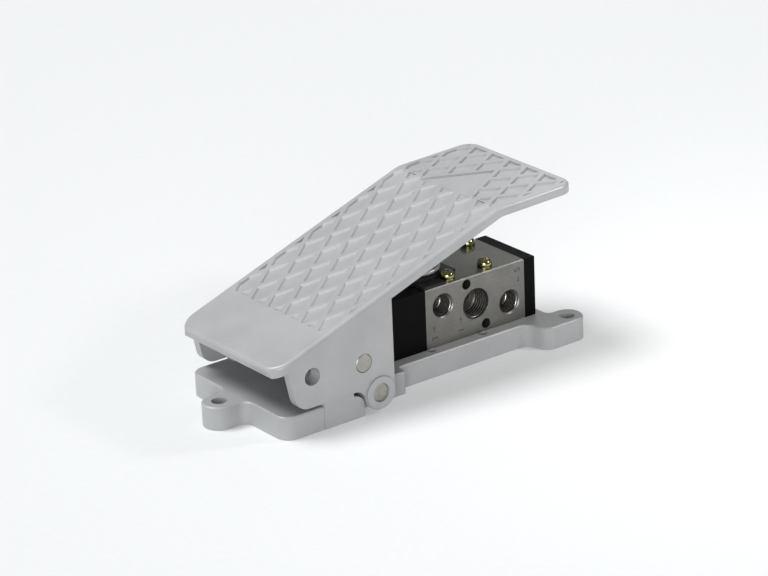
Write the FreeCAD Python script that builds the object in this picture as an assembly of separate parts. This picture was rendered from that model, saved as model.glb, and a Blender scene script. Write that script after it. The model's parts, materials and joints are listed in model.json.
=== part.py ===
# Foot pedal air valve: a cast treadle on a cast base pushes the spool of a five-port valve.
# Millimetres. X towards the toe, Y to the far side, Z up.
# The origin is on the base's underside, below the pivot.
import FreeCAD, Part
import math
import os
from FreeCAD import Vector

# Pivot and pins
pivot_height = 8.45
pin_radius = 4.0
pin_chamfer = 0.4
running_gap = 0.05  # radial, pin in its bore
seat_gap = 0.3  # pieces that rest on each other but move apart

# Base casting
deck_top = 9.84
deck_thickness = 3.0
wall_thickness = 3.0
front_edge_x = -46.5
wide_half_width = 33.4
lug_half_width = 27.0
lug_end_x = 18.9
narrow_half_width = 21.9
ear_radius = 7.1
ear_hole_radius = 3.2
front_ear_x = -54.9
rear_ear_x = 104.6
rear_ear_y = 26.3
ear_outer = 6.2  # rear ear's hole to its outer edge
ear_front_x = 88.8
ear_front_corner = 5.2
ear_neck_x = 86.2
ear_neck_corner = 5.0
rear_edge_x = 100.2
rear_corner = 2.5
outer_corner = 6.0
neck_corner = 4.0
small_corner = 1.5
inside_corner = 0.2  # beside the treadle's turning boss
deck_edge_bevel = 0.5
barrel_radius = 8.0
pad_start_x = -27.3
pad_end_x = -12.45
pad_top = 11.5
pad_width = 4.8
pad_step = 0.25  # the wall beside the pads stands this far out
wide_end_round = 5.0  # seen from the side, below the pivot boss's arc
cross_web_end_x = 9.5
rib_thickness = 3.0
rib_x = 31.0
pocket_corner = 2.0
dimple_radius = 2.0
dimple_depth = 2.2
dimple_x = (39.4, 66.5)
dimple_y = 17.2

# Valve block
block_start_x = 38.2
block_length = 52.1
block_half_width = 16.1
block_height = 26.2
block_chamfer = 0.4
spool_height = 23.2
bore_radius = 6.0
port_groove_radius = 7.0
port_groove_width = 3.0
supply_x = 64.4
supply_height = 23.3
exhaust_x = (47.2, 82.1)
exhaust_height = (27.2, 19.2)
outlet_x = (55.6, 73.2)
large_tap_radius = 5.9
large_mouth_radius = 6.85
large_depth = 8.4
small_tap_radius = 4.4
small_mouth_radius = 5.42
small_depth = 8.0
port_drill_radius = 3.0
side_hole_radius = 2.2
side_hole_x = (59.7, 69.4)
side_hole_height = (33.1, 13.2)

# Block screws, long pan heads down through the block into the base
screw_radius = 1.5
screw_gap = 0.1
thread_gap = 0.02
head_radius = 3.15
head_height = 3.0
washer_radius = 3.05
washer_height = 0.9
screw_y = 11.6
near_screw_x = (53.4, 73.0)
far_screw_x = (64.6, 82.6)
screw_boss_radius = 3.6
screw_engagement = 7.5

# Caps
front_cap_length = 22.0
rear_cap_length = 6.2
front_cap_chamfer = 1.1
rear_cap_chamfer = 0.6
cap_screw_radius = 1.5
cap_screw_y = 12.3
cap_screw_z = 9.4
cap_screw_engagement = 5.0
cap_head_radius = 2.8
cap_head_height = 1.8
face_seal_radius = 9.0
face_seal_wire = 0.8
face_seal_room = 0.2  # the groove is this much wider each side

# Plunger, its guide and seal
plunger_radius = 4.0
plunger_round = 0.8
collar_radius = 6.6
collar_start = 30.0
collar_length = 2.6
chamber_radius = 7.2
chamber_start = 29.7
guide_inset = 0.3
guide_length = 9.0
guide_radius = 6.0
seal_wire = 0.95
seal_gap = 0.02
seal_pocket_start = 26.6
seal_pocket_length = 2.2
nose_radius = 3.4

# Spool and its rings
spool_start = 40.2
spool_end = 87.0
land_radius = 5.7
neck_radius = 4.0
lands = ((40.2, 43.4), (45.8, 48.6), (60.0, 65.8), (77.7, 80.5), (83.4, 87.0))
ring_x = (41.8, 47.2, 61.4, 64.4, 79.1, 85.1)
ring_wire = 0.9
ring_gap = 0.03
ring_groove = 2.2
spring_pocket_radius = 2.9
spring_pocket_start = 77.5
return_wire = 0.7
return_radius = 2.2
return_turns = 8
cap_recess = 1.8
coil_steps = 16  # straight runs in one turn of a spring

# Treadle casting
ramp_x = 12.0  # where the ramp's height is given
ramp_height = 52.9
ramp_slope = 0.345
bend_x = 64.0
toe_slope = 0.03
toe_x = 104.0
heel_x = -50.8
rim_depth = 4.1
tread_thickness = 3.0
rim_width = 4.0
bend_round = 14.0
heel_corner = 9.0
toe_corner = 7.0
tread_edge_round = 1.6
half_width = 34.4
skirt_thickness = 4.0
skirt_rear_x = 7.4
skirt_front_x = -44.6
skirt_front_bottom_x = -40.6
skirt_front_round = 6.5
skirt_fillet = 5.2  # concave arc between the skirt and its pivot boss
skirt_bottom = pad_top + seat_gap
boss_radius = 7.4
ring_radius = 6.9
ring_proud = 0.8
boss_inner = lug_half_width + 0.5
inner_boss_radius = 7.0
inner_boss_height = 2.4
push_pin_x = -7.5
spare_hole_x = -32.9
spare_hole_height = 24.8
spare_hole_radius = 3.75

# Tread pattern, diamonds cut into the top
cell_length = 20.0
cell_width = 11.34
rib_width = 2.0
pocket_depth = 0.9
pocket_draft = 0.5
pattern_half_width = 31.2
ramp_pattern = (-38.6, 54.6)  # along the ramp from ramp_x
ramp_node = -32.0
toe_pattern = (0.4, 36.5)  # along the toe facet from the bend
toe_node = 27.1
arrow_depth = 0.9
arrow_start = -2.0

# Treadle spring and its seat
treadle_spring_x = 46.8
treadle_spring_radius = 8.6
treadle_spring_wire = 2.0
treadle_spring_turns = 3.5
seat_plate_thickness = 1.0
seat_plate_start = 38.6
seat_plate_end = 61.2
seat_plate_inset = 0.6
seat_plate_corner = 0.6
spring_seat_radius = 9.8
spring_seat_height = 2.5
spigot_radius = 6.6
spigot_height = 2.0
spring_boss_radius = 11.5
spring_boss_reach = 0.2  # below the tread's underside at its lowest side

block_top = deck_top + block_height
block_end_x = block_start_x + block_length
ramp_angle = math.atan(ramp_slope)
toe_angle = math.atan(toe_slope)
bend_height = ramp_height + ramp_slope * (bend_x - ramp_x)
front_cap_x = block_start_x - front_cap_length
rear_cap_x = block_end_x + rear_cap_length
guide_start = front_cap_x + guide_inset
gland_radius = plunger_radius + seal_gap + 2 * seal_wire
# The skirt's concave arc, and the base's wide part that ends just inside it
arc_z = skirt_bottom - skirt_fillet
arc_x = -math.sqrt((boss_radius + skirt_fillet) ** 2 - (arc_z - pivot_height) ** 2)
pad_end_round = skirt_fillet - seat_gap
wide_end_x = arc_x + pad_end_round
lug_corner = 0.3 * (lug_half_width - narrow_half_width)
pad_side = wide_half_width + pad_step
ear_rear_x = rear_ear_x + ear_radius
ear_inner_y = rear_ear_y - ear_radius
ear_edge_y = rear_ear_y + ear_outer
ear_corner = (ear_radius + ear_outer) / 2 - 0.01
# The spring's seat on the block and its boss under the tread
spring_seat_top = block_top + spring_seat_height
spring_boss_side = ramp_height + ramp_slope * (treadle_spring_x - spring_boss_radius - ramp_x)
spring_boss_bottom = spring_boss_side - tread_thickness / math.cos(ramp_angle) - spring_boss_reach
y_axis = Vector(0, 1, 0)
x_axis = Vector(1, 0, 0)
z_axis = Vector(0, 0, 1)


def rounded_wire(corners, place):
    """Closed wire through corners (u, v, radius), each rounded by a tangent arc."""
    ends = []
    count = len(corners)
    for i, (u, v, radius) in enumerate(corners):
        before, after = corners[i - 1], corners[(i + 1) % count]
        a = Vector(before[0] - u, before[1] - v, 0).normalize()
        b = Vector(after[0] - u, after[1] - v, 0).normalize()
        half = a.getAngle(b) / 2
        corner = Vector(u, v, 0)
        if radius == 0:
            ends.append((corner, corner, corner))
            continue
        reach = radius / math.tan(half)
        middle = (a + b).normalize() * (radius / math.sin(half) - radius)
        ends.append((corner + a * reach, corner + middle, corner + b * reach))
    edges = []
    for i, (start, middle, end) in enumerate(ends):
        if (end - start).Length > 1e-6:
            arc = Part.Arc(place(start.x, start.y), place(middle.x, middle.y), place(end.x, end.y))
            edges.append(arc.toShape())
        following = ends[(i + 1) % count][0]
        if (following - end).Length > 1e-6:
            line = Part.LineSegment(place(end.x, end.y), place(following.x, following.y))
            edges.append(line.toShape())
    return Part.Wire(edges)


def plan_prism(corners, bottom, top):
    """Rounded outline in plan, extruded from bottom to top."""
    wire = rounded_wire(corners, lambda u, v: Vector(u, v, bottom))
    return Part.Face(wire).extrude(Vector(0, 0, top - bottom))


def side_prism(corners, y_low, y_high):
    """Rounded outline in side view (x, z), extruded across the pedal."""
    wire = rounded_wire(corners, lambda u, v: Vector(u, y_low, v))
    return Part.Face(wire).extrude(Vector(0, y_high - y_low, 0))


def box(x_low, x_high, y_low, y_high, z_low, z_high):
    return Part.makeBox(x_high - x_low, y_high - y_low, z_high - z_low, Vector(x_low, y_low, z_low))


def rod_x(radius, x_low, x_high, y=0.0, z=spool_height):
    return Part.makeCylinder(radius, x_high - x_low, Vector(x_low, y, z), x_axis)


def rod_y(radius, y_low, y_high, x, z):
    return Part.makeCylinder(radius, y_high - y_low, Vector(x, y_low, z), y_axis)


def rod_z(radius, z_low, z_high, x, y):
    return Part.makeCylinder(radius, z_high - z_low, Vector(x, y, z_low), z_axis)


def section_points(wire, start=0):
    """Six-sided section as (along, outward) offsets; unturned, its flats are at the inner and outer radius."""
    corner = wire / math.cos(math.radians(30))
    turns = [math.radians(start + 60 * i) for i in range(6)]
    return [(corner * math.cos(turn), corner * math.sin(turn)) for turn in turns]


def ring_x_at(x, outer_radius, wire, start=0):
    """Seal ring about the spool's axis."""
    middle = outer_radius - wire
    points = [Vector(x + u, 0, spool_height + middle + v) for u, v in section_points(wire, start)]
    face = Part.Face(Part.makePolygon(points + points[:1]))
    return face.revolve(Vector(0, 0, spool_height), x_axis, 360)


def fuse_all(shapes):
    return shapes[0].multiFuse(shapes[1:]).removeSplitter()


def both_sides(shape):
    """The shape and its mirror image across the pedal's middle plane."""
    return [shape, shape.mirror(Vector(0, 0, 0), y_axis)]


def mirrored(corners):
    """Corners given for the far side, closed by their mirror image on the near side."""
    return corners + [(u, -v, r) for u, v, r in reversed(corners)]


def base_casting():
    outline = mirrored([
        (front_ear_x - ear_radius, ear_radius, ear_radius - 0.01),
        (front_edge_x, ear_radius, neck_corner),
        (front_edge_x, wide_half_width, outer_corner),
        (wide_end_x, wide_half_width, inside_corner),
        (wide_end_x, lug_half_width, inside_corner),
        (lug_end_x, lug_half_width, lug_corner),
        (lug_end_x, narrow_half_width, lug_corner),
        (ear_neck_x, narrow_half_width, ear_neck_corner),
        (ear_front_x, ear_edge_y, ear_front_corner),
        (ear_rear_x, ear_edge_y, ear_corner),
        (ear_rear_x, ear_inner_y, ear_corner),
        (rear_edge_x, ear_inner_y, rear_corner),
    ])
    body = plan_prism(outline, 0, deck_top)
    body = body.makeChamfer(deck_edge_bevel, [e for e in body.Edges if e.BoundBox.ZMin > deck_top - 0.01])
    # Thicker wall with stop pads that carry the treadle's skirts
    wall = box(pad_start_x, wide_end_x, wide_half_width - pad_width, pad_side, 0, deck_top)
    pad = box(pad_start_x, pad_end_x, wide_half_width - pad_width, pad_side, deck_top - 1, pad_top)
    body = fuse_all([body] + both_sides(wall) + both_sides(pad))
    adds = [rod_y(barrel_radius, -lug_half_width, lug_half_width, 0, pivot_height)]
    cuts = []
    # Rounded rear end of the wide part, below the skirt's arc
    round_x, round_z = wide_end_x - wide_end_round, deck_top - wide_end_round
    corner = box(round_x, wide_end_x + 1, lug_half_width, pad_side + 1, round_z, pad_top + 1)
    corner = corner.cut(rod_y(wide_end_round, lug_half_width, pad_side + 1, round_x, round_z))
    cuts += both_sides(corner)
    # Hollow underside, in pockets between ribs
    ceiling = deck_top - deck_thickness
    half_rib = rib_thickness / 2
    front_start = front_edge_x + wall_thickness
    front_end = wide_end_x - wall_thickness
    cuts += both_sides(pocket(front_start, front_end, half_rib, wide_half_width - wall_thickness, ceiling))
    rib_lines = (rib_x, near_screw_x[0], near_screw_x[1])
    starts = [cross_web_end_x] + [x + half_rib for x in rib_lines]
    ends = [x - half_rib for x in rib_lines] + [rear_edge_x - wall_thickness]
    inner = narrow_half_width - wall_thickness
    for start, end in zip(starts, ends):
        cuts.append(pocket(start, end, -inner, inner, ceiling))
    body = body.cut(Part.makeCompound(cuts))
    # Screw bosses under the block
    adds += [rod_z(screw_boss_radius, 0, ceiling + 1, x, y) for x, y in screw_places()]
    body = fuse_all([body] + adds)
    # Pin bore, ear holes, screw threads, spot holes
    cuts = [rod_y(pin_radius + running_gap, -lug_half_width - 1, lug_half_width + 1, 0, pivot_height)]
    for x, y in ((front_ear_x, 0), (rear_ear_x, rear_ear_y), (rear_ear_x, -rear_ear_y)):
        cuts.append(rod_z(ear_hole_radius, -1, deck_top + 1, x, y))
    for x, y in screw_places():
        cuts.append(rod_z(screw_radius + thread_gap, deck_top - screw_engagement - 0.5, deck_top + 1, x, y))
    for x in dimple_x:
        for y in (-dimple_y, dimple_y):
            cuts.append(rod_z(dimple_radius, deck_top - dimple_depth, deck_top + 1, x, y))
    return body.cut(Part.makeCompound(cuts))


def pocket(x_low, x_high, y_low, y_high, ceiling):
    corners = [(x_low, y_low, pocket_corner), (x_high, y_low, pocket_corner),
               (x_high, y_high, pocket_corner), (x_low, y_high, pocket_corner)]
    return plan_prism(corners, -1, ceiling)


def screw_places():
    return [(x, -screw_y) for x in near_screw_x] + [(x, screw_y) for x in far_screw_x]


def port(x, z, side, tap_radius, mouth_radius, depth):
    """Tapped port from one side face to the spool bore: thread, chamfered mouth, drilled way in."""
    face_y = side * block_half_width
    inward = Vector(0, -side, 0)
    chamfer = mouth_radius - tap_radius
    hole = Part.makeCylinder(tap_radius, depth, Vector(x, face_y, z), inward)
    mouth = Part.makeCone(mouth_radius, tap_radius, chamfer, Vector(x, face_y, z), inward)
    drill = Part.makeCylinder(port_drill_radius, block_half_width, Vector(x, face_y, z), inward)
    return [hole, mouth, drill]


def valve_block():
    body = box(block_start_x, block_end_x, -block_half_width, block_half_width, deck_top, block_top)
    long_edges = [e for e in body.Edges if abs(e.BoundBox.XLength - block_length) < 1e-6]
    body = body.makeChamfer(block_chamfer, long_edges)
    cuts = [rod_x(bore_radius, block_start_x - 1, block_end_x + 1)]
    half_groove = port_groove_width / 2
    for x in exhaust_x + outlet_x + (supply_x,):
        cuts.append(rod_x(port_groove_radius, x - half_groove, x + half_groove))
    cuts += port(supply_x, supply_height, -1, large_tap_radius, large_mouth_radius, large_depth)
    for x, z in zip(exhaust_x, exhaust_height):
        cuts += port(x, z, -1, small_tap_radius, small_mouth_radius, small_depth)
    for x in outlet_x:
        cuts += port(x, supply_height, 1, large_tap_radius, large_mouth_radius, large_depth)
    for x, z in zip(side_hole_x, side_hole_height):
        cuts.append(rod_y(side_hole_radius, -block_half_width - 1, block_half_width + 1, x, z))
    for x, y in screw_places():
        cuts.append(rod_z(screw_radius + screw_gap, deck_top - 1, block_top + 1, x, y))
    for y, z in cap_screw_places():
        for end, inward in ((block_start_x, 1), (block_end_x, -1)):
            x_low, x_high = sorted((end - inward, end + inward * cap_screw_engagement))
            cuts.append(rod_x(cap_screw_radius + thread_gap, x_low, x_high, y, z))
    for tool in cuts:
        body = body.cut(tool)
    return body


def cap_screw_places():
    middle = (deck_top + block_top) / 2
    return [(y, middle + z) for y in (-cap_screw_y, cap_screw_y) for z in (-cap_screw_z, cap_screw_z)]


def cap(x_low, x_high, outer_x, chamfer):
    """Plain block cap, its outer end chamfered all round."""
    body = box(x_low, x_high, -block_half_width, block_half_width, deck_top, block_top)
    rim = [e for e in body.Edges if e.BoundBox.XLength < 0.01 and abs(e.BoundBox.XMin - outer_x) < 0.01]
    return body.makeChamfer(chamfer, rim)


def cap_screw_cuts(inner_x, outer_x):
    outward = 1 if outer_x > inner_x else -1
    cuts = []
    for y, z in cap_screw_places():
        x_low, x_high = sorted((inner_x - outward, outer_x + outward))
        cuts.append(rod_x(cap_screw_radius + screw_gap, x_low, x_high, y, z))
        x_low, x_high = sorted((outer_x - outward * cap_head_height, outer_x + outward))
        cuts.append(rod_x(cap_head_radius + screw_gap, x_low, x_high, y, z))
    return cuts


def face_seal_groove(face_x, outward):
    x_low, x_high = sorted((face_x, face_x + outward * 2 * face_seal_wire))
    half_width = face_seal_wire + face_seal_room
    outer = rod_x(face_seal_radius + half_width, x_low, x_high)
    return outer.cut(rod_x(face_seal_radius - half_width, x_low, x_high))


def front_cap():
    body = cap(front_cap_x, block_start_x, front_cap_x, front_cap_chamfer)
    cuts = cap_screw_cuts(block_start_x, front_cap_x)
    cuts.append(rod_x(plunger_radius + seat_gap, front_cap_x - 1, block_start_x + 1))
    cuts.append(rod_x(guide_radius, front_cap_x - 1, guide_start + guide_length))
    cuts.append(rod_x(gland_radius, seal_pocket_start, seal_pocket_start + seal_pocket_length))
    cuts.append(rod_x(chamber_radius, chamber_start, block_start_x + 1))
    cuts.append(face_seal_groove(block_start_x, -1))
    for tool in cuts:
        body = body.cut(tool)
    return body


def rear_cap():
    body = cap(block_end_x, rear_cap_x, rear_cap_x, rear_cap_chamfer)
    cuts = cap_screw_cuts(block_end_x, rear_cap_x)
    cuts.append(rod_x(spring_pocket_radius, block_end_x - 1, block_end_x + cap_recess))
    cuts.append(face_seal_groove(block_end_x, 1))
    for tool in cuts:
        body = body.cut(tool)
    return body


def face_seal(x):
    return ring_x_at(x, face_seal_radius + face_seal_wire, face_seal_wire, 30)


def cap_screws(inner_x, outer_x):
    outward = 1 if outer_x > inner_x else -1
    screws = []
    for y, z in cap_screw_places():
        tip_x = inner_x - outward * cap_screw_engagement
        x_low, x_high = sorted((tip_x, outer_x - outward * cap_head_height))
        shank = rod_x(cap_screw_radius, x_low, x_high, y, z)
        x_low, x_high = sorted((outer_x - outward * cap_head_height, outer_x))
        screws.append(shank.fuse(rod_x(cap_head_radius, x_low, x_high, y, z)))
    return Part.makeCompound(screws)


def block_screws():
    screws = []
    head_seat = block_top + washer_height
    for x, y in screw_places():
        shank = rod_z(screw_radius, deck_top - screw_engagement, block_top, x, y)
        washer = rod_z(washer_radius, block_top, head_seat, x, y)
        head = rod_z(head_radius, head_seat, head_seat + head_height, x, y)
        crown = [e for e in head.Edges if abs(e.BoundBox.ZMin - head_seat - head_height) < 1e-6]
        head = head.makeChamfer(head_height * 0.4, crown)
        screws.append(fuse_all([shank, washer, head]))
    return Part.makeCompound(screws)


def pin(x, z, half_length):
    body = rod_y(pin_radius, -half_length, half_length, x, z)
    rims = [e for e in body.Edges if e.BoundBox.YLength < 1e-6]
    return body.makeChamfer(pin_chamfer, rims)


def plunger():
    tip = push_pin_x + pin_radius + seat_gap
    body = fuse_all([
        rod_x(plunger_radius, tip, collar_start + collar_length / 2),
        rod_x(collar_radius, collar_start, collar_start + collar_length),
        rod_x(nose_radius, collar_start, spool_start),
    ])
    return body.makeFillet(plunger_round, [e for e in body.Edges if e.BoundBox.XMax < tip + 0.01])


def plunger_guide():
    tube = rod_x(guide_radius, guide_start, guide_start + guide_length)
    return tube.cut(rod_x(plunger_radius + running_gap, guide_start - 1, guide_start + guide_length + 1))


def plunger_seal():
    x = seal_pocket_start + seal_pocket_length / 2
    return ring_x_at(x, gland_radius, seal_wire)


def spool():
    body = rod_x(neck_radius, spool_start, spool_end)
    body = fuse_all([body] + [rod_x(land_radius, low, high) for low, high in lands])
    ring_seat = bore_radius - ring_gap - 2 * ring_wire
    for x in ring_x:
        low, high = x - ring_groove / 2, x + ring_groove / 2
        body = body.cut(rod_x(bore_radius, low, high).cut(rod_x(ring_seat, low, high)))
    return body.cut(rod_x(spring_pocket_radius, spring_pocket_start, spool_end + 1))


def spool_rings():
    return Part.makeCompound([ring_x_at(x, bore_radius - ring_gap, ring_wire) for x in ring_x])


def coil(radius, wire, turns, length):
    """Coil spring along +Z from the origin, ends included in length, in short straight runs."""
    rise = length - 2 * wire
    steps = round(turns * coil_steps)
    loops = []
    for i in range(steps + 1):
        turn = math.radians(360 * turns * i / steps)
        points = []
        for rise_by, out_by in section_points(wire):
            out = radius + out_by
            height = wire + rise * i / steps + rise_by * math.cos(math.radians(30))
            points.append(Vector(out * math.cos(turn), out * math.sin(turn), height))
        loops.append(Part.makePolygon(points + points[:1]))
    return Part.makeLoft(loops, True, True)


def spool_spring():
    length = block_end_x + cap_recess - spring_pocket_start
    spring = coil(return_radius, return_wire / 2, return_turns, length)
    spring.rotate(Vector(0, 0, 0), y_axis, 90)
    spring.translate(Vector(spring_pocket_start, 0, spool_height))
    return spring


def treadle_spring():
    height = spring_boss_bottom - spring_seat_top
    spring = coil(treadle_spring_radius, treadle_spring_wire / 2, treadle_spring_turns, height)
    spring.translate(Vector(treadle_spring_x, 0, spring_seat_top))
    return spring


def seat_plate():
    """Plate on the block with a round seat for the spring, narrow beside the near screw's head."""
    edge = block_half_width - seat_plate_inset
    step_x = near_screw_x[0] - head_radius - seat_gap
    tail_y = screw_y - head_radius - 1
    outline = mirrored([
        (seat_plate_start, edge, small_corner),
        (step_x, edge, seat_plate_corner),
        (step_x, tail_y, seat_plate_corner),
        (seat_plate_end, tail_y, seat_plate_corner),
    ])
    body = plan_prism(outline, block_top, block_top + seat_plate_thickness)
    seat = rod_z(spring_seat_radius, block_top, spring_seat_top, treadle_spring_x, 0)
    spigot = rod_z(spigot_radius, block_top, spring_seat_top + spigot_height, treadle_spring_x, 0)
    return fuse_all([body, seat, spigot])


def surface_point(s, y, on_toe, depth=0.0):
    """Point on the tread: s along the facet, y across, depth below it."""
    if on_toe:
        start, angle = Vector(bend_x, 0, bend_height), toe_angle
    else:
        start, angle = Vector(ramp_x, 0, ramp_height), ramp_angle
    along = Vector(math.cos(angle), 0, math.sin(angle))
    normal = Vector(-math.sin(angle), 0, math.cos(angle))
    return start + along * s + normal * -depth + Vector(0, y, 0)


def diamond_pocket(s, y, on_toe):
    """One sunk diamond with drafted walls, its middle at (s, y)."""
    slant = math.hypot(cell_length, cell_width)
    loops = []
    for side in (-1, 1):
        depth = side * pocket_depth
        inset = rib_width / 2 + side * pocket_draft
        half_length = cell_length / 2 - inset * slant / cell_width
        half_width = cell_width / 2 - inset * slant / cell_length
        spots = [(s - half_length, y), (s, y + half_width), (s + half_length, y), (s, y - half_width)]
        points = [surface_point(u, v, on_toe, depth) for u, v in spots]
        loops.append(Part.makePolygon(points + points[:1]))
    return Part.makeLoft(loops, True, True)


def facet_block(s_low, s_high, on_toe):
    """Prism that limits the pattern on one facet."""
    half = pattern_half_width
    corners = [(s_low, -half), (s_high, -half), (s_high, half), (s_low, half)]
    points = [surface_point(u, v, on_toe, 2 * pocket_depth) for u, v in corners]
    face = Part.Face(Part.makePolygon(points + points[:1]))
    lift = surface_point(0, 0, on_toe, -pocket_depth) - surface_point(0, 0, on_toe, 2 * pocket_depth)
    return face.extrude(lift)


def pattern(limits, node, on_toe):
    """Every diamond of one facet's lattice, cut off at the facet's border."""
    pockets = []
    first_row = math.floor((limits[0] - node) / cell_length) * 2 - 2
    last_row = math.ceil((limits[1] - node) / cell_length) * 2 + 2
    columns = math.ceil(pattern_half_width / cell_width) + 1
    for row in range(first_row, last_row + 1):
        s = node + row * cell_length / 2
        shift = 0.5 if row % 2 == 0 else 0.0
        if s + cell_length / 2 <= limits[0] or s - cell_length / 2 >= limits[1]:
            continue
        for column in range(-columns, columns + 1):
            pockets.append(diamond_pocket(s, (column + shift) * cell_width, on_toe))
    return Part.makeCompound(pockets).common(facet_block(limits[0], limits[1], on_toe))


def arrow_outline(grow, depth):
    """Plain sunk triangle from the bend to the toe, its sides along the lattice."""
    slope = cell_width / cell_length
    slant = math.hypot(1, slope)
    tip = toe_node - (rib_width / 2 - grow) * slant / slope
    start = arrow_start
    half = slope * (tip - start)
    spots = [(start, -half), (tip, 0), (start, half)]
    points = [surface_point(u, v, True, depth) for u, v in spots]
    return Part.makePolygon(points + points[:1])


def arrow_recess(grow, depth):
    face = Part.Face(arrow_outline(grow, depth))
    lift = surface_point(0, 0, True, -3 * depth) - surface_point(0, 0, True, depth)
    return face.extrude(lift)


def tread_plan():
    """Outline of the tread in plan, tall enough to trim any piece of the treadle."""
    plan = mirrored([(heel_x, half_width, heel_corner), (toe_x, half_width, toe_corner)])
    return plan_prism(plan, 0, 2 * bend_height)


def tread_plate():
    """Bent plate with a rim all round, rounded corners in plan and a rounded top edge."""
    down = Vector(math.sin(ramp_angle), 0, -math.cos(ramp_angle))
    heel_top = Vector(heel_x, 0, ramp_height + ramp_slope * (heel_x - ramp_x))
    toe_top = Vector(toe_x, 0, bend_height + toe_slope * (toe_x - bend_x))
    toe_down = Vector(math.sin(toe_angle), 0, -math.cos(toe_angle))
    half_turn = (ramp_angle - toe_angle) / 2
    mid_down = Vector(math.sin(ramp_angle - half_turn), 0, -math.cos(ramp_angle - half_turn))
    bend_top = Vector(bend_x, 0, bend_height)

    spots = [heel_top, bend_top, toe_top, toe_top + toe_down * rim_depth,
             bend_top + mid_down * (rim_depth / math.cos(half_turn)), heel_top + down * rim_depth]
    radii = [0, bend_round, 0, 0, bend_round - rim_depth, 0]
    profile = [(p.x, p.z, r) for p, r in zip(spots, radii)]
    return side_prism(profile, -half_width, half_width).common(tread_plan())


def treadle_casting():
    body = tread_plate()
    top_rim = []
    for e in body.Edges:
        middle = e.valueAt((e.FirstParameter + e.LastParameter) / 2)
        if middle.x <= bend_x:
            height = ramp_height + ramp_slope * (middle.x - ramp_x)
        else:
            height = bend_height + toe_slope * (middle.x - bend_x)
        across = e.BoundBox.YLength > half_width
        inside = heel_x + 1 < middle.x < toe_x - 1
        if abs(middle.z - height) < 0.6 and not (across and inside):
            top_rim.append(e)
    body = body.makeFillet(tread_edge_round, top_rim)
    # Skirts and their bosses
    body = fuse_all([body] + both_sides(skirt()) + [spring_boss()])
    cuts = []
    cuts.append(pattern(ramp_pattern, ramp_node, False))
    arrow_area = arrow_recess(rib_width, arrow_depth)
    cuts.append(pattern(toe_pattern, toe_node, True).cut(arrow_area))
    cuts.append(arrow_recess(0, arrow_depth))
    cuts.append(underside_hollow())
    half = half_width + ring_proud + 1
    cuts.append(rod_y(pin_radius, -half, half, 0, pivot_height))
    cuts.append(rod_y(pin_radius, -half, half, push_pin_x, spool_height))
    cuts.append(rod_y(spare_hole_radius, -half, half, spare_hole_x, spare_hole_height))
    for tool in cuts:
        body = body.cut(tool)
    return body


def underside_hollow():
    """Room under the tread that leaves a rim round the edge, clear of the skirts."""
    inner = half_width - skirt_thickness
    heel_s = (heel_x - ramp_x) / math.cos(ramp_angle) + rim_width
    bend_s = (bend_x - ramp_x) / math.cos(ramp_angle)
    toe_s = (toe_x - bend_x) / math.cos(toe_angle) - rim_width
    pieces = []
    for on_toe, s_low, s_high in ((False, heel_s, bend_s), (True, 0, toe_s)):
        corners = [(s_low, -inner), (s_high, -inner), (s_high, inner), (s_low, inner)]
        points = [surface_point(u, v, on_toe, tread_thickness) for u, v in corners]
        face = Part.Face(Part.makePolygon(points + points[:1]))
        drop = surface_point(0, 0, on_toe, rim_depth + 1) - surface_point(0, 0, on_toe, tread_thickness)
        pieces.append(face.extrude(drop))
    hollow = pieces[0].fuse(pieces[1])
    return hollow.cut(rod_z(spring_boss_radius, 0, bend_height, treadle_spring_x, 0))


def skirt():
    """Far skirt: side wall from the tread down to the pivot boss, with its bosses."""
    outer, inner = half_width, half_width - skirt_thickness
    touch = Vector(arc_x, 0, arc_z - pivot_height) * (boss_radius / (boss_radius + skirt_fillet))
    top_z = ramp_height - rim_depth / 2
    plate = side_prism([
        (skirt_rear_x, pivot_height, 0),
        (skirt_rear_x, top_z + ramp_slope * (skirt_rear_x - ramp_x), 0),
        (skirt_front_x, top_z + ramp_slope * (skirt_front_x - ramp_x), 0),
        (skirt_front_bottom_x, skirt_bottom, skirt_front_round),
        (arc_x, skirt_bottom, 0),
        (0, skirt_bottom, 0),
        (0, pivot_height, 0),
    ], inner, outer)
    web = side_prism([
        (arc_x, skirt_bottom, 0),
        (arc_x, arc_z, 0),
        (touch.x, pivot_height + touch.z, 0),
        (0, pivot_height, 0),
        (0, skirt_bottom, 0),
    ], inner, outer)
    web = web.cut(rod_y(skirt_fillet, inner - 1, outer + 1, arc_x, arc_z))
    # The front edge follows the tread's rounded corner
    shapes = [plate.common(tread_plan()), web]
    shapes.append(rod_y(boss_radius, boss_inner, outer, 0, pivot_height))
    shapes.append(rod_y(ring_radius, outer, outer + ring_proud, 0, pivot_height))
    boss_low = inner - inner_boss_height
    shapes.append(rod_y(inner_boss_radius, boss_low, inner + 1, push_pin_x, spool_height))
    shapes.append(rod_y(inner_boss_radius, boss_low, inner + 1, spare_hole_x, spare_hole_height))
    return fuse_all(shapes)


def spring_boss():
    """Round boss under the tread with a level face for the spring, and a spigot inside the coil."""
    reach = spring_boss_radius + 1
    mid_z = ramp_height + ramp_slope * (treadle_spring_x - ramp_x) - tread_thickness
    corners = [
        (treadle_spring_x - reach, spring_boss_bottom, 0),
        (treadle_spring_x + reach, spring_boss_bottom, 0),
        (treadle_spring_x + reach, mid_z + ramp_slope * reach, 0),
        (treadle_spring_x - reach, mid_z - ramp_slope * reach, 0),
    ]
    column = rod_z(spring_boss_radius, spring_boss_bottom, bend_height, treadle_spring_x, 0)
    column = column.common(side_prism(corners, -reach, reach))
    spigot_bottom = spring_boss_bottom - spigot_height
    return column.fuse(rod_z(spigot_radius, spigot_bottom, spring_boss_bottom, treadle_spring_x, 0))


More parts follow.
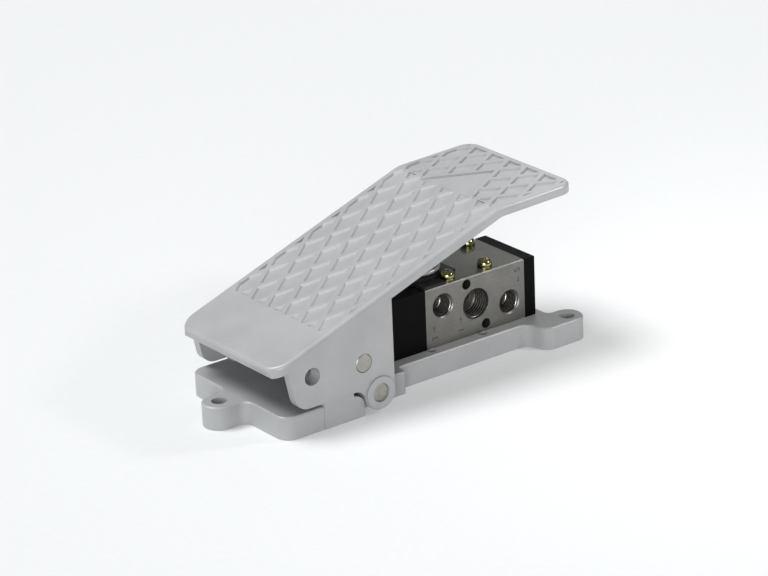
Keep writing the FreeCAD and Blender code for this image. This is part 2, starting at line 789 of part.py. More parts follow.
nodes = {
    "base_casting": base_casting(),
    "treadle_casting": treadle_casting(),
    "pivot_pin": pin(0, pivot_height, half_width),
    "push_pin": pin(push_pin_x, spool_height, half_width),
    "valve_block": valve_block(),
    "front_cap": front_cap(),
    "rear_cap": rear_cap(),
    "front_cap_seal": face_seal(block_start_x - face_seal_wire),
    "rear_cap_seal": face_seal(block_end_x + face_seal_wire),
    "front_cap_screws": cap_screws(block_start_x, front_cap_x),
    "rear_cap_screws": cap_screws(block_end_x, rear_cap_x),
    "block_screws": block_screws(),
    "plunger": plunger(),
    "plunger_guide": plunger_guide(),
    "plunger_seal": plunger_seal(),
    "spool": spool(),
    "spool_rings": spool_rings(),
    "spool_spring": spool_spring(),
    "treadle_spring": treadle_spring(),
    "spring_seat_plate": seat_plate(),
}
os.makedirs("parts", exist_ok=True)
for name, shape in nodes.items():
    shape.exportStep(os.path.join("parts", name + ".step"))
    print(name, "solids", len(shape.Solids), "valid", shape.isValid(), "volume", round(shape.Volume, 1))
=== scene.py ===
import json
import math

import bmesh
import bpy
from mathutils import Matrix, Vector


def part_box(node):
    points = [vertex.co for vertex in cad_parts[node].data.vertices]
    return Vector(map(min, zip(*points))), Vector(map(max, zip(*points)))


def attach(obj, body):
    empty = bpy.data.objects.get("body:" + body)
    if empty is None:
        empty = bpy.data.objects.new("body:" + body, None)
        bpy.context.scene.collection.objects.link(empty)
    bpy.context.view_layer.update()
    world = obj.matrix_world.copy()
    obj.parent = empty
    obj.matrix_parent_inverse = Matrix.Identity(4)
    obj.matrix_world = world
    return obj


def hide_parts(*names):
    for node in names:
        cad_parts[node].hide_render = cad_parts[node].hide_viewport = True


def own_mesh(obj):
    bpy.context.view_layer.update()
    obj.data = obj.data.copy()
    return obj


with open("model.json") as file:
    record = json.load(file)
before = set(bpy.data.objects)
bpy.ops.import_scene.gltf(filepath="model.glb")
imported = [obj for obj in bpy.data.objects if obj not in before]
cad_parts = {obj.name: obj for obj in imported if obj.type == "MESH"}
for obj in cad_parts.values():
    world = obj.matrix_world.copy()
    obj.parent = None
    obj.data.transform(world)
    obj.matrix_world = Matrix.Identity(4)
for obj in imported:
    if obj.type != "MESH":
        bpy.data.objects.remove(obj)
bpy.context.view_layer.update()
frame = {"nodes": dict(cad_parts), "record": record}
nodes = frame["nodes"]
mounts = frame["record"]["mounts"]
mm = 0.001


# Shader sockets that add, scale and mix like numbers
class Sock:
    def __init__(self, tree, out):
        self.tree = tree
        self.out = out

    def feed(self, socket, value):
        if isinstance(value, Sock):
            self.tree.links.new(value.out, socket)
        else:
            socket.default_value = value

    def node(self, kind, pick, settings=None, **links):
        made = self.tree.nodes.new(kind)
        for key, value in (settings or {}).items():
            setattr(made, key, value)
        for key, value in links.items():
            index = int(key[2:]) if key.startswith("at") else key.replace("_", " ")
            self.feed(made.inputs[index], value)
        return Sock(self.tree, made.outputs[pick])

    def math(self, operation, *values):
        links = {f"at{i}": v for i, v in enumerate(values)}
        return self.node("ShaderNodeMath", 0, {"operation": operation}, **links)

    def __add__(self, other):
        return self.math("ADD", self, other)

    __radd__ = __add__

    def __sub__(self, other):
        return self.math("SUBTRACT", self, other)

    def __rsub__(self, other):
        return self.math("SUBTRACT", other, self)

    def __mul__(self, other):
        return self.math("MULTIPLY", self, other)

    __rmul__ = __mul__

    def between(self, low, high):
        settings = {"interpolation_type": "SMOOTHSTEP"}
        return self.node("ShaderNodeMapRange", 0, settings, Value=self, From_Min=low, From_Max=high)

    def shades(self, dark, light):
        settings = {"data_type": "RGBA"}
        return self.node("ShaderNodeMix", 2, settings, at0=self, at6=(*dark, 1), at7=(*light, 1))

    def noise(self, scale, detail=3.0, roughness=0.5):
        values = {"Scale": scale, "Detail": detail, "Roughness": roughness}
        return self.node("ShaderNodeTexNoise", 0, Vector=self, **values)

    def stretched(self, x, y, z):
        return self.node("ShaderNodeVectorMath", 0, {"operation": "MULTIPLY"}, at0=self, at1=(x, y, z))

    def bump(self, strength, distance):
        return self.node("ShaderNodeBump", 0, Height=self, Strength=strength, Distance=distance)


def newMaterial(name):
    material = bpy.data.materials.new(name)
    material.use_nodes = True
    tree = material.node_tree
    shader = tree.nodes["Principled BSDF"]
    place = Sock(tree, tree.nodes.new("ShaderNodeTexCoord").outputs["Object"])
    return material, shader, place


# Links what varies over the surface, and sets what doesn't
def dress(shader, place, **values):
    for key, value in values.items():
        place.feed(shader.inputs[key.replace("_", " ")], value)


# A finish whose colour, gloss and relief all follow one fine grain
def grained(name, look):
    material, shader, place = newMaterial(name)
    grain = place.stretched(*look["stretch"]) if "stretch" in look else place
    grain = grain.noise(look["grain"], look["detail"])
    tone = grain.between(*look["span"]) if "span" in look else grain
    least, spread = look["gloss"]
    dress(
        shader,
        place,
        Base_Color=tone.shades(look["dark"], look["light"]),
        Roughness=grain * spread + least,
        Metallic=look.get("metallic", 0.0),
        Specular_IOR_Level=look.get("specular", 0.5),
    )
    if "bump" in look:
        dress(shader, place, Normal=grain.bump(*look["bump"]))
    return material


# Light grey satin paint over a die casting
paint = {
    "light": (0.362, 0.37, 0.378),
    "dark": (0.305, 0.312, 0.319),
    "gloss": (0.30, 0.14),  # least roughness, and how far it varies
    "cloud": 60,
    "grain": 2600,
    "speck": 900,
    "peel": 420,
    "bump": (0.10, 0.0004),
    "coat": 0.22,
    "coatRoughness": 0.22,
}
paintMaterial, shader, place = newMaterial("castingPaint")
cloud = place.noise(paint["cloud"], 4.0)
grain = place.noise(paint["grain"], 2.0)
speck = place.noise(paint["speck"]).between(0.62, 0.74)
peel = place.noise(paint["peel"], 2.0)
tone = (cloud * 0.7 + grain * 0.3 - speck * 0.25).between(0.2, 0.8)
least, spread = paint["gloss"]
dress(
    shader,
    place,
    Base_Color=tone.shades(paint["dark"], paint["light"]),
    Roughness=cloud * spread + least + grain * 0.06,
    Normal=(grain * 0.5 + peel).bump(*paint["bump"]),
    Coat_Weight=paint["coat"],
    Coat_Roughness=paint["coatRoughness"],
)

# Machined aluminium of the block, with fine tool lines along it
machined = {
    "light": (0.22, 0.215, 0.2),
    "dark": (0.14, 0.137, 0.127),
    "stretch": (0.03, 1, 1),
    "lines": 5200,
    "blotch": 140,
    "bump": (0.12, 0.0002),
    "metallic": 0.7,
}
blockMaterial, shader, place = newMaterial("blockAluminium")
lines = place.stretched(*machined["stretch"]).noise(machined["lines"], 4.0, 0.7)
blotch = place.noise(machined["blotch"], 4.0)
tone = (lines * 0.55 + blotch * 0.45).between(0.25, 0.75)
dress(
    shader,
    place,
    Base_Color=tone.shades(machined["dark"], machined["light"]),
    Roughness=lines * 0.2 + blotch * 0.12 + 0.2,
    Normal=lines.bump(*machined["bump"]),
    Metallic=machined["metallic"],
)

# Ground steel of the pins and plunger
steel = {
    "light": (0.43, 0.41, 0.37),
    "dark": (0.28, 0.265, 0.24),
    "stretch": (1, 0.08, 1),
    "lines": 3800,
    "blotch": 260,
    "bump": (0.1, 0.0001),
    "metallic": 0.85,
}
steelMaterial, shader, place = newMaterial("pinSteel")
lines = place.stretched(*steel["stretch"]).noise(steel["lines"])
blotch = place.noise(steel["blotch"], 4.0)
tone = (lines * 0.5 + blotch * 0.5).between(0.25, 0.75)
dress(
    shader,
    place,
    Base_Color=tone.shades(steel["dark"], steel["light"]),
    Roughness=blotch * 0.25 + 0.24,
    Normal=lines.bump(*steel["bump"]),
    Metallic=steel["metallic"],
)

# Black satin of the caps, made darker still as painted shade from the treadle over the front cap
capBlack = {
    "light": (0.003, 0.003, 0.0035),
    "dark": (0.001, 0.001, 0.0013),
    "grain": 2200,
    "blotch": 120,
    "bump": (0.15, 0.0002),
    "specular": 0.06,
}
capMaterial, shader, place = newMaterial("capBlack")
grain = place.noise(capBlack["grain"])
blotch = place.noise(capBlack["blotch"], 4.0)
tone = (grain * 0.5 + blotch * 0.5).between(0.3, 0.7)
dress(
    shader,
    place,
    Base_Color=tone.shades(capBlack["dark"], capBlack["light"]),
    Roughness=blotch * 0.2 + 0.34,
    Normal=grain.bump(*capBlack["bump"]),
    Specular_IOR_Level=capBlack["specular"],
)

# Black finished sheet steel under the spring, faintly scratched
plateBlack = {
    "light": (0.035, 0.035, 0.036),
    "dark": (0.012, 0.012, 0.0125),
    "stretch": (1, 0.05, 1),
    "scratch": 1500,
    "grain": 1800,
    "bump": (0.1, 0.0002),
    "specular": 0.25,
}
plateMaterial, shader, place = newMaterial("plateBlack")
scratch = place.stretched(*plateBlack["stretch"]).noise(plateBlack["scratch"], 4.0).between(0.6, 0.75)
grain = place.noise(plateBlack["grain"])
dress(
    shader,
    place,
    Base_Color=scratch.shades(plateBlack["dark"], plateBlack["light"]),
    Roughness=grain * 0.2 + 0.28,
    Normal=grain.bump(*plateBlack["bump"]),
    Specular_IOR_Level=plateBlack["specular"],
)

# Yellow zinc plate on the screws
zinc = {
    "light": (0.42, 0.40, 0.17),
    "dark": (0.20, 0.20, 0.10),
    "blotch": 700,
    "hue": 240,
    "bump": (0.08, 0.0002),
    "metallic": 1.0,
}
zincMaterial, shader, place = newMaterial("screwZinc")
blotch = place.noise(zinc["blotch"], 4.0)
hue = place.noise(zinc["hue"], 2.0)
tone = (blotch * 0.5 + hue * 0.5).between(0.3, 0.7)
dress(
    shader,
    place,
    Base_Color=tone.shades(zinc["dark"], zinc["light"]),
    Roughness=blotch * 0.16 + 0.12,
    Normal=blotch.bump(*zinc["bump"]),
    Metallic=zinc["metallic"],
)

# Painted shade for the thread roots and the depths of the plain holes, a near-black copy of the block's
# metal
paintedShadeRootMaterial = grained("threadRootPaintedShade", {
    "grain": 1800,
    "detail": 3,
    "light": (0.03, 0.029, 0.027),
    "dark": (0.006, 0.006, 0.006),
    "gloss": (0.45, 0.2),
    "specular": 0.2,
})

# Thread ridges with a painted glint, a brighter copy of the block's metal
paintedGlintRidgeMaterial = grained("threadRidgePaintedGlint", {
    "grain": 2400,
    "detail": 3,
    "span": (0.3, 0.7),
    "light": (0.72, 0.70, 0.64),
    "dark": (0.42, 0.40, 0.36),
    "gloss": (0.2, 0.2),
    "metallic": 0.85,
})

# Port numbers and arrows, flat marks with painted shade for their engraved strokes, darker than the
# block
paintedShadeMarkMaterial = grained("engravingPaintedShade", {
    "grain": 2600,
    "detail": 3,
    "span": (0.3, 0.7),
    "light": (0.08, 0.08, 0.074),
    "dark": (0.03, 0.03, 0.028),
    "gloss": (0.5, 0.2),
})

# Drawn spring wire
wireMaterial = grained("springSteel", {
    "grain": 1600,
    "detail": 4,
    "span": (0.3, 0.7),
    "light": (0.66, 0.66, 0.64),
    "dark": (0.42, 0.42, 0.41),
    "gloss": (0.25, 0.25),
    "bump": (0.08, 0.0001),
    "metallic": 0.8,
})

# Black rubber of the seals
rubberMaterial = grained("sealRubber", {
    "grain": 1500,
    "detail": 3,
    "light": (0.03, 0.03, 0.03),
    "dark": (0.008, 0.008, 0.008),
    "gloss": (0.5, 0.3),
    "bump": (0.2, 0.0002),
})

# Bronze of the plunger's guide
bronzeMaterial = grained("guideBronze", {
    "grain": 900,
    "detail": 4,
    "span": (0.3, 0.7),
    "light": (0.60, 0.40, 0.18),
    "dark": (0.36, 0.22, 0.09),
    "gloss": (0.3, 0.3),
    "bump": (0.15, 0.0002),
    "metallic": 0.9,
})

# Ground aluminium of the spool, with rings round it
spoolMaterial = grained("spoolAluminium", {
    "stretch": (1, 0.05, 0.05),
    "grain": 4200,
    "detail": 2,
    "span": (0.3, 0.7),
    "light": (0.72, 0.73, 0.74),
    "dark": (0.52, 0.53, 0.54),
    "gloss": (0.2, 0.2),
    "bump": (0.1, 0.0001),
    "metallic": 0.9,
})
print("materials ready")


# Shows a CAD node with its sharp edges rounded
def soften(thing, width, segments=2, angle=28):
    flat = thing.modifiers.new("flat", "DECIMATE")
    flat.decimate_type = "DISSOLVE"
    flat.angle_limit = math.radians(0.5)
    edge = thing.modifiers.new("edge", "BEVEL")
    edge.width = width
    edge.segments = segments
    edge.limit_method = "ANGLE"
    edge.angle_limit = math.radians(angle)
    edge.harden_normals = True
    edge.use_clamp_overlap = True


finishes = {
    "base_casting": (paintMaterial, "casting_paint", 0.5 * mm),  # the last value rounds the edges
    "treadle_casting": (paintMaterial, "casting_paint", 0.3 * mm),
    "pivot_pin": (steelMaterial, "pin_steel", 0),
    "push_pin": (steelMaterial, "pin_steel", 0),
    "valve_block": (blockMaterial, "block_aluminium", 0),
    "front_cap": (capMaterial, "cap_black", 0),
    "rear_cap": (capMaterial, "cap_black", 0),
    "front_cap_seal": (rubberMaterial, "seal_rubber", 0),
    "rear_cap_seal": (rubberMaterial, "seal_rubber", 0),
    "front_cap_screws": (zincMaterial, "screw_zinc", 0),
    "rear_cap_screws": (zincMaterial, "screw_zinc", 0),
    "block_screws": (zincMaterial, "screw_zinc", 0),
    "plunger": (steelMaterial, "pin_steel", 0),
    "plunger_guide": (bronzeMaterial, "guide_bronze", 0),
    "plunger_seal": (rubberMaterial, "seal_rubber", 0),
    "spool": (spoolMaterial, "spool_aluminium", 0),
    "spool_rings": (rubberMaterial, "seal_rubber", 0),
    "spool_spring": (wireMaterial, "spring_steel", 0),
    "treadle_spring": (wireMaterial, "spring_steel", 0),
    "spring_seat_plate": (plateMaterial, "plate_black", 0),
}
for name, (material, slotName, width) in finishes.items():
    thing = nodes[name]
    thing.data.materials.clear()
    thing.data.materials.append(material)
    if width:
        soften(thing, width)
print("CAD nodes dressed")

mergeDistance = 0.002 * mm  # vertices closer than this are one


def turnAbout(degrees, axis):
    return Matrix.Rotation(math.radians(degrees), 4, axis)


# Makes a piece of the part from a bmesh, riding on a body
def finished(name, shape, material, body, angle=35):
    mesh = bpy.data.meshes.new(name)
    shape.to_mesh(mesh)
    shape.free()
    mesh.shade_smooth()
    mesh.set_sharp_from_angle(angle=math.radians(angle))
    mesh.materials.append(material)
    thing = bpy.data.objects.new(name, mesh)
    bpy.context.scene.collection.objects.link(thing)
    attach(thing, body)
    return thing


def profileLine(shape, points):
    made = [shape.verts.new(p) for p in points]
    edges = [shape.edges.new(pair) for pair in zip(made, made[1:])]
    return made + edges


# Solid of revolution about the Z axis, from points of radius and height
def turned(shape, profile, steps=40):
    axis = Vector((0, 0, 1))
    out = axis.orthogonal().normalized()
    made = profileLine(shape, [out * r + axis * h for r, h in profile])
    bmesh.ops.spin(
        shape, geom=made, cent=(0, 0, 0), axis=axis, angle=math.tau, steps=steps, use_merge=True
    )
    bmesh.ops.remove_doubles(shape, verts=shape.verts, dist=mergeDistance)


# The target with the tool taken away from it
def cut(target, tool):
    pair = []
    for name, shape in (("cutTarget", target), ("cutTool", tool)):
        bmesh.ops.recalc_face_normals(shape, faces=shape.faces)
        mesh = bpy.data.meshes.new(name)
        shape.to_mesh(mesh)
        shape.free()
        thing = bpy.data.objects.new(name, mesh)
        bpy.context.scene.collection.objects.link(thing)
        pair.append(thing)
    difference = pair[0].modifiers.new("cut", "BOOLEAN")
    difference.operation = "DIFFERENCE"
    difference.solver = "EXACT"
    difference.use_self = True  # the two bars of a cross recess overlap
    difference.object = pair[1]
    bpy.context.view_layer.update()
    result = bmesh.new()
    result.from_object(pair[0], bpy.context.evaluated_depsgraph_get())
    for thing in pair:
        bpy.data.objects.remove(thing)
    return result


# Adds the part to the shape once for each matrix
def stamped(shape, part, places):
    mesh = bpy.data.meshes.new("stamp")
    part.to_mesh(mesh)
    part.free()
    for place in places:
        mesh.transform(place)
        shape.from_mesh(mesh)
        mesh.transform(place.inverted())
    bpy.data.meshes.remove(mesh)


# Valve block: the plain port walls make way for real threads
threads = {
    "large": {"crest": 6.58 * mm, "pitch": 1.337 * mm, "mouth": 6.85 * mm, "depth": 8.5 * mm},
    "small": {"crest": 4.86 * mm, "pitch": 0.907 * mm, "mouth": 5.42 * mm, "depth": 8.0 * mm},
    "largeFrom": 5 * mm,  # radius of the tapping hole that parts large from small
    "steps": 56,  # in one turn
    "lead": 0.02 * mm,
    "root": 0.4,  # share of the thread's height where the painted shade of the root starts
    "profile": ((0, 0), (0, 0.12), (1, 0.44), (1, 0.56), (0, 0.88), (0, 1)),  # height, along the pitch
    "slack": 0.01 * mm,  # within which a face counts as on a wall
    "ledge": 0.1 * mm,  # a wall face is deeper than this
}
low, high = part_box("valve_block")
faceY = high[1]


def portPlace(port):
    x, _, z = port["pos_m"]
    tap = port["dims"]["r_mm"] * mm
    size = threads["large" if tap > threads["largeFrom"] else "small"]
    return x, z, round(port["axis"][1]), tap, size


def removePlainWall(shape, port):
    x, z, side, tap, size = portPlace(port)
    slack = threads["slack"]
    wall = []
    for face in shape.faces:
        radii = [math.hypot(v.co.x - x, v.co.z - z) for v in face.verts]
        depths = [faceY - side * v.co.y for v in face.verts]
        around = max(radii) < size["mouth"] + slack and min(radii) > tap - slack
        inside = min(depths) > -slack and max(depths) < faceY
        if around and inside and max(depths) - min(depths) > threads["ledge"]:
            wall.append(face)
    bmesh.ops.delete(shape, geom=wall, context="FACES_ONLY")


def threadSleeve(port):
    x, z, side, tap, size = portPlace(port)
    pitch, crest, depth, mouth = size["pitch"], size["crest"], size["depth"], size["mouth"]
    sleeve = bmesh.new()
    points = []
    for height, along in threads["profile"]:  # starts a pitch outside the face
        points.append((x + tap + height * (crest - tap), side * (faceY + pitch - along * pitch), z))
    made = profileLine(sleeve, points)
    turns = math.ceil(depth / pitch)
    bmesh.ops.spin(
        sleeve,
        geom=made,
        cent=(x, 0, z),
        axis=(0, side, 0),
        dvec=(0, -side * pitch / threads["steps"], 0),
        angle=math.tau * turns,
        steps=threads["steps"] * turns,
    )
    bmesh.ops.remove_doubles(sleeve, verts=sleeve.verts, dist=0.01 * mm)
    for v in sleeve.verts:  # squares off both ends and opens the mouth as a cone
        deep = min(max(faceY - side * v.co.y, threads["lead"]), depth)
        out = Vector((v.co.x - x, 0, v.co.z - z))
        radius = max(out.length, mouth - deep + threads["lead"])
        radius = min(radius, tap + max(depth - deep, 0))
        out = out.normalized() * radius
        v.co = (x + out.x, side * (faceY - deep), z + out.z)
    bmesh.ops.dissolve_degenerate(sleeve, dist=0.003 * mm, edges=sleeve.edges)
    sleeve.normal_update()
    rootRadius = tap + threads["root"] * (crest - tap)
    inward = 0
    for face in sleeve.faces:
        middle = face.calc_center_median()
        out = Vector((middle.x - x, 0, middle.z - z))
        inward += face.normal.dot(out) < 0
        if faceY - side * middle.y > mouth - crest:
            # deep faces get painted shade at the roots and a painted glint on the ridges
            face.material_index = 1 if out.length > rootRadius else 2
    if inward < len(sleeve.faces) / 2:  # the metal is outside the sleeve
        bmesh.ops.reverse_faces(sleeve, faces=sleeve.faces)
    return sleeve


shape = bmesh.new()
shape.from_mesh(nodes["valve_block"].data)
bmesh.ops.remove_doubles(shape, verts=shape.verts, dist=mergeDistance)
ports = [m for m in mounts if m["kind"] == "threaded_hole"]
for port in ports:
    removePlainWall(shape, port)
# the walls of the plain side holes get the painted shade
for hole in [m for m in mounts if m["name"].startswith("block_hole")]:
    x, z, r = hole["pos_m"][0], hole["pos_m"][2], hole["dims"]["r_mm"] * mm
    for face in shape.faces:
        if all(abs(math.hypot(v.co.x - x, v.co.z - z) - r) < threads["slack"] for v in face.verts):
            face.material_index = 1
for port in ports:
    stamped(shape, threadSleeve(port), [Matrix.Identity(4)])
shownBlock = finished("shownBlock", shape, blockMaterial, "base", 30)
shownBlock.data.materials.append(paintedShadeRootMaterial)
shownBlock.data.materials.append(paintedGlintRidgeMaterial)
for polygon in shownBlock.data.polygons:  # the block's own flat sides stay flat
    polygon.use_smooth = max(abs(c) for c in polygon.normal) < 0.9999
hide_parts("valve_block")
print("block threads cut")

# Pan head screws of the block, each over a split spring washer
blockScrew = {
    "near": (53.4, 73.0),
    "far": (64.6, 82.6),
    "fromMiddle": 11.6,
    "head": (  # radius and height, from the top down
        (0, 3.0), (1.0, 2.98), (1.9, 2.82), (2.6, 2.4), (3.0, 1.75),
        (3.15, 1.0), (3.15, 0.3), (3.0, 0.1), (1.5, 0.1),
    ),
    "shank": 1.5,
    "lift": 0.9,  # of the head over the block, for the washer
    "recess": {"length": 3.6, "width": 0.62, "depth": 1.5, "top": 3.0, "taper": 0.45},
    "washer": {"inner": 1.75, "outer": 3.05, "thick": 0.8, "split": 14, "offset": 0.1, "steps": 48},
}
low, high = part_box("block_screws")
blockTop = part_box("valve_block")[1][2]
headSeat = blockTop + blockScrew["lift"] * mm
tipHeight = low[2] - headSeat
head = bmesh.new()
outline = [(r * mm, h * mm) for r, h in blockScrew["head"]]
outline += [(blockScrew["shank"] * mm, tipHeight), (0, tipHeight)]
turned(head, outline)
cross = bmesh.new()
recess = blockScrew["recess"]
for quarter in (0, 90):
    bar = Matrix.Diagonal((recess["length"] * mm, recess["width"] * mm, 2 * recess["depth"] * mm, 1))
    placed = Matrix.Translation((0, 0, recess["top"] * mm)) @ turnAbout(quarter, "Z") @ bar
    made = bmesh.ops.create_cube(cross, size=1, matrix=placed)["verts"]
    for v in made:
        if v.co.z < recess["top"] * mm:  # the recess narrows towards its floor
            v.co.x *= recess["taper"]
            v.co.y *= recess["taper"]
head = cut(head, cross)
washer = bmesh.new()
split = blockScrew["washer"]
inner, outer, thick = split["inner"] * mm, split["outer"] * mm, split["thick"] * mm
corners = ((inner, 0), (outer, 0), (outer, thick), (inner, thick), (inner, 0))
ring = profileLine(washer, [(r, 0, h) for r, h in corners])
bmesh.ops.spin(
    washer,
    geom=ring,
    cent=(0, 0, 0),
    axis=(0, 0, 1),
    dvec=(0, 0, split["offset"] * mm / split["steps"]),
    angle=math.radians(360 - split["split"]),
    steps=split["steps"],
)
bmesh.ops.remove_doubles(washer, verts=washer.verts, dist=mergeDistance)
bmesh.ops.holes_fill(washer, edges=[e for e in washer.edges if e.is_boundary], sides=4)
bmesh.ops.recalc_face_normals(washer, faces=washer.faces)
spots = [(x * mm, -blockScrew["fromMiddle"] * mm) for x in blockScrew["near"]]
spots += [(x * mm, blockScrew["fromMiddle"] * mm) for x in blockScrew["far"]]
upright = Vector((0, 0, 1)).to_track_quat("Z", "Y").to_matrix().to_4x4()
shape = bmesh.new()
stamped(shape, head, [Matrix.Translation((x, y, headSeat)) @ upright for x, y in spots])
stamped(shape, washer, [Matrix.Translation((x, y, blockTop)) @ upright for x, y in spots])
shownScrews = finished("blockScrewHeads", shape, zincMaterial, "base", 50)
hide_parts("block_screws")

# Socket screws of the two end caps
capScrew = {"head": 2.8, "tall": 1.8, "rim": 0.25, "shank": 1.5, "hex": 1.45, "hexDepth": 1.2}
headRadius, tall, rim, shank, hexRadius, hexDepth = (value * mm for value in capScrew.values())
shape = bmesh.new()
for node, direction in (("front_cap_screws", -1), ("rear_cap_screws", 1)):
    low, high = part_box(node)
    length = high[0] - low[0]
    outline = [(0, 0), (headRadius - rim, 0), (headRadius, -rim), (headRadius, -tall)]
    outline += [(shank, -tall), (shank, -length), (0, -length)]
    screw = bmesh.new()
    turned(screw, outline, 32)
    socket = bmesh.new()
    bmesh.ops.create_cone(
        socket, cap_ends=True, segments=6, radius1=hexRadius, radius2=hexRadius, depth=2 * hexDepth
    )
    screw = cut(screw, socket)
    outerX = low[0] if direction < 0 else high[0]
    turn = Vector((direction, 0, 0)).to_track_quat("Z", "Y").to_matrix().to_4x4()
    places = []
    for y in (low[1] + headRadius, high[1] - headRadius):
        for z in (low[2] + headRadius, high[2] - headRadius):
            places.append(Matrix.Translation((outerX, y, z)) @ turn)
    stamped(shape, screw, places)
capHeads = finished("capScrewHeads", shape, zincMaterial, "base", 30)
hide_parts("front_cap_screws", "rear_cap_screws")
print("screws made")

# Treadle spring: round wire with a closed coil at each end
springWire = {
    "wire": 2.0 * mm,
    "sides": 12,
    "steps": 40,  # in one turn
    "closed": 0.9,  # turns at each end
    "pack": 1.02,  # rise of a closed turn, in wires
    "active": 2.6,  # turns between
    "start": -150,
    "keep": 0.44,
}
low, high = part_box("treadle_spring")
centre = Vector(((low[0] + high[0]) / 2, 0, low[2]))
wire = springWire["wire"]
coilRadius = (high[0] - low[0]) / 2 - wire / 2
rise = high[2] - low[2] - wire
closedRise = wire * springWire["closed"] * springWire["pack"]
section = Matrix.Translation((coilRadius, 0, wire / 2)) @ turnAbout(90, "X")
shape = bmesh.new()
made = bmesh.ops.create_circle(
    shape,
    cap_ends=False,
    segments=springWire["sides"],
    radius=wire / 2,
    matrix=Matrix.Translation(centre) @ turnAbout(springWire["start"], "Z") @ section,
)
last = made["verts"] + list({e for v in made["verts"] for e in v.link_edges})
runs = (
    (springWire["closed"], closedRise),
    (springWire["active"], rise - 2 * closedRise),
    (springWire["closed"], closedRise),
)
for turns, lift in runs:
    steps = round(springWire["steps"] * turns)
    dvec = (0, 0, lift / steps)
    swept = bmesh.ops.spin(
        shape, geom=last, cent=centre, axis=(0, 0, 1), dvec=dvec, angle=math.tau * turns, steps=steps
    )
    last = swept["geom_last"]
bmesh.ops.remove_doubles(shape, verts=shape.verts, dist=mergeDistance)
bmesh.ops.holes_fill(shape, edges=[e for e in shape.edges if e.is_boundary], sides=springWire["sides"])
bmesh.ops.recalc_face_normals(shape, faces=shape.faces)
shownSpring = finished("treadleCoil", shape, wireMaterial, "base", 50)
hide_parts("treadle_spring")
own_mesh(shownSpring)
print("treadle spring coiled")

# Spool spring, between the spool and the rear cap, with a mesh of its own
low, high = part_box("spool_spring")
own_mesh(nodes["spool_spring"])

# Port numbers and flow arrows on the block's near side
marks = {
    "size": 4.6 * mm,
    "thick": 0.02 * mm,
    "numbers": (("3", 42.82, 13.84), ("1", 56.38, 13.77), ("5", 86.73, 32.41)),
    "arrows": ((42.25, 17.9, 90), (56.18, 18.2, 90), (87.14, 28.1, -90)),
    "tip": {"radius": 0.8 * mm, "ahead": 0.7 * mm},
    "bar": {"length": 1.6 * mm, "width": 0.35 * mm, "behind": 0.6 * mm},
}
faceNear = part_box("valve_block")[0][1] - marks["thick"]


# A place on the block's near side, turned in the plane of that side
def onNearSide(x, z, degrees):
    return Matrix.Translation((x * mm, faceNear, z * mm)) @ turnAbout(90, "X") @ turnAbout(degrees, "Z")


shape = bmesh.new()
for text, x, z in marks["numbers"]:
    letter = bpy.data.curves.new("mark", "FONT")
    letter.body = text
    letter.size = marks["size"]
    letter.align_x = "CENTER"
    letter.align_y = "CENTER"
    letter.extrude = marks["thick"]
    label = bpy.data.objects.new("mark", letter)
    bpy.context.scene.collection.objects.link(label)
    bpy.context.view_layer.update()
    mesh = bpy.data.meshes.new_from_object(label)
    mesh.transform(onNearSide(x, z, 90))
    shape.from_mesh(mesh)
    bpy.data.objects.remove(label)
tip, bar = marks["tip"], marks["bar"]
for x, z, degrees in marks["arrows"]:
    arrow = onNearSide(x, z, degrees)
    ahead = arrow @ Matrix.Translation((tip["ahead"], 0, 0)) @ turnAbout(-90, "Z")
    bmesh.ops.create_circle(shape, cap_ends=True, segments=3, radius=tip["radius"], matrix=ahead)
    stretch = Matrix.Diagonal((bar["length"], bar["width"], marks["thick"], 1))
    behind = arrow @ Matrix.Translation((-bar["behind"], 0, 0)) @ stretch
    bmesh.ops.create_cube(shape, size=1, matrix=behind)
finished("portMarks", shape, paintedShadeMarkMaterial, "base")
print("port marks placed")

# Pale floor that glows a little, so it stays white beside the part
floor = {
    "size": 4,  # half its width, in metres
    "below": 0.2 * mm,
    "light": (0.54, 0.55, 0.555),
    "dark": (0.50, 0.51, 0.515),
    "grain": 300,
    "bump": (0.02, 0.0002),
    "gloss": 0.7,
    "glow": (0.96, 0.985, 1, 1),
    "glowStrength": 0.26,
}
floorShape = bmesh.new()
bmesh.ops.create_grid(floorShape, x_segments=1, y_segments=1, size=floor["size"])
floorMesh = bpy.data.meshes.new("floor")
floorShape.to_mesh(floorMesh)
floorShape.free()
floorMaterial, shader, place = newMaterial("floorPale")
paper = place.noise(floor["grain"])
dress(
    shader,
    place,
    Base_Color=paper.shades(floor["dark"], floor["light"]),
    Normal=paper.bump(*floor["bump"]),
    Roughness=floor["gloss"],
    Emission_Color=floor["glow"],
    Emission_Strength=floor["glowStrength"],
)
floorMesh.materials.append(floorMaterial)
floorObject = bpy.data.objects.new("floor", floorMesh)
floorObject.location = (0, 0, -floor["below"])
bpy.context.scene.collection.objects.link(floorObject)

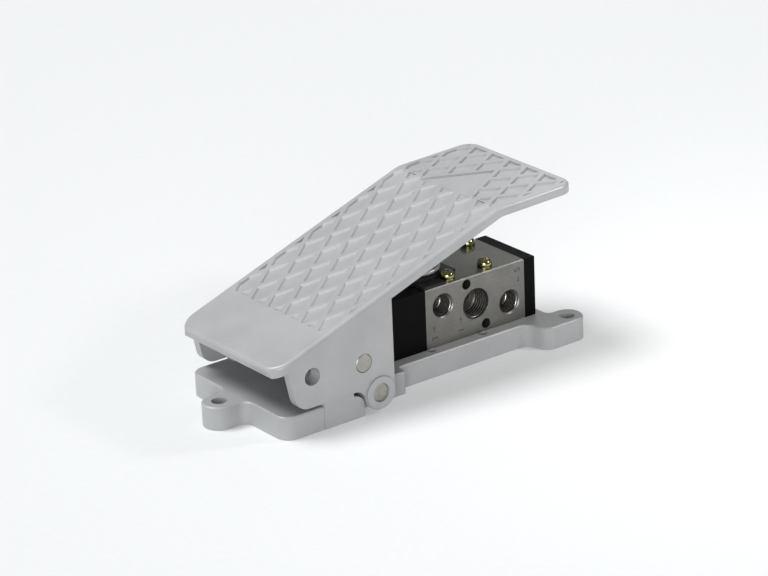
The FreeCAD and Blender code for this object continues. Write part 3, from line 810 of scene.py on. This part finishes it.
# Soft studio light, brightest from above and from the low left
studio = {
    "colour": (0.96, 0.98, 1.0, 1),
    "strength": 0.13,
    "aim": (0.02, 0, 0.03),
    "lamps": (  # kind, name, place, width or angle, power, colour
        ("AREA", "top", (-0.2, 0.15, 0.95), 0.8, 1.2, (1, 1, 1)),
        ("AREA", "rim", (0.7, 0.6, 0.6), 0.4, 0.6, (1, 1, 1)),
        ("AREA", "ports", (0.24, -0.18, 0.22), 0.05, 0.35, (1, 0.98, 0.94)),
        ("SUN", "overhead", (-0.3, 0.28, 0.85), 0.5, 3.0, (1, 1, 1)),
        ("SUN", "low", (-0.66, -0.72, 0.2), 0.6, 2.2, (1, 0.998, 0.995)),
    ),
}
world = bpy.data.worlds.new("studio")
world.use_nodes = True
background = world.node_tree.nodes["Background"]
background.inputs["Color"].default_value = studio["colour"]
background.inputs["Strength"].default_value = studio["strength"]
bpy.context.scene.world = world
for kind, name, spot, size, power, colour in studio["lamps"]:
    light = bpy.data.lights.new(name, kind)
    if kind == "SUN":
        light.angle = size
    else:
        light.shape = "DISK"
        light.size = size
    light.energy = power
    light.color = colour
    lamp = bpy.data.objects.new(name, light)
    lamp.location = spot
    towards = Vector(studio["aim"]) - Vector(spot)
    lamp.rotation_euler = towards.to_track_quat("-Z", "Y").to_euler()
    bpy.context.scene.collection.objects.link(lamp)

# Camera, as fitted to the photograph
shot = {
    "azimuth": -36.52,
    "elevation": 22.0,
    "roll": -2.37,
    "focal": 3545.92,  # in pixels
    "frame": 768,  # pixels across
    "sensor": 36,
    "across": 21.99 * mm,
    "up": 40.09 * mm,
    "away": 1450.66 * mm,
}
azimuth, elevation, roll = (math.radians(shot[key]) for key in ("azimuth", "elevation", "roll"))
back = Vector(
    (
        math.sin(azimuth) * math.cos(elevation),
        -math.cos(azimuth) * math.cos(elevation),
        math.sin(elevation),
    )
)
level = Vector((math.cos(azimuth), math.sin(azimuth), 0))
plumb = back.cross(level)
right = level * math.cos(roll) + plumb * math.sin(roll)
up = plumb * math.cos(roll) - level * math.sin(roll)
spot = right * shot["across"] + up * shot["up"] + back * shot["away"]
cameraData = bpy.data.cameras.new("camera")
cameraData.sensor_width = shot["sensor"]
cameraData.lens = shot["focal"] * shot["sensor"] / shot["frame"]
cameraData.clip_end = 20
camera = bpy.data.objects.new("camera", cameraData)
camera.matrix_world = Matrix.Translation(spot) @ Matrix((right, up, back)).transposed().to_4x4()
bpy.context.scene.collection.objects.link(camera)
bpy.context.scene.camera = camera
bpy.context.scene.view_settings.view_transform = "Standard"
print("stage, lamps and camera placed")
